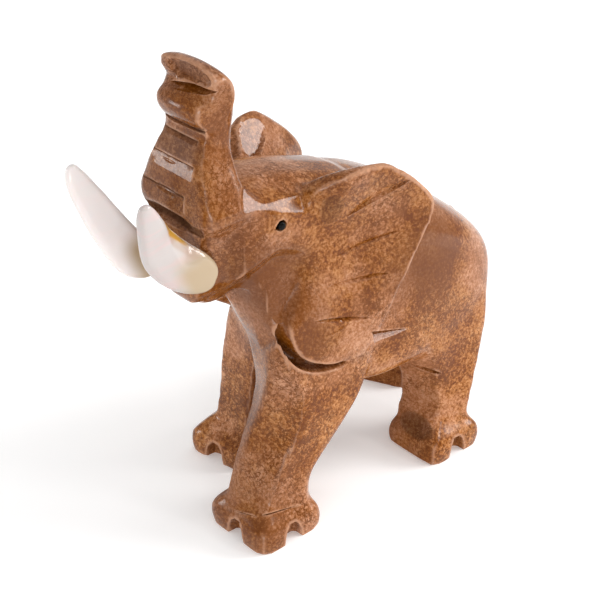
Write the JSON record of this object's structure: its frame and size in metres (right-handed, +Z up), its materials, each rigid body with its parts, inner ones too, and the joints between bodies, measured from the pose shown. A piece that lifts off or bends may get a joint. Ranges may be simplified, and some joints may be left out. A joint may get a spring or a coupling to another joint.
{
  "type": "elephant figurine",
  "caption": "Carved marble elephant figurine with raised trunk, flared ears, striding notched feet, pearl-shell tusks and black inlaid eyes; stands free on a shelf or table.",
  "frame": {"origin": "middle of the bounding box, on the floor under the feet", "axes": "+Z up; the elephant faces -Y; its left side is +X"},
  "size_m": [0.0486, 0.1054, 0.11],
  "materials": {
    "brown_marble": "polished brown and pink marble, with dull unpolished stone on the inner sides of the legs",
    "pearl_shell": "polished white pearl shell with a golden edge at the root",
    "black_inlay": "polished black inlay"
  },
  "bodies": {
    "root": {"marble_elephant": "brown_marble", "left_tusk": "pearl_shell", "right_tusk": "pearl_shell", "left_eye": "black_inlay", "right_eye": "black_inlay"}
  },
  "joints": []
}
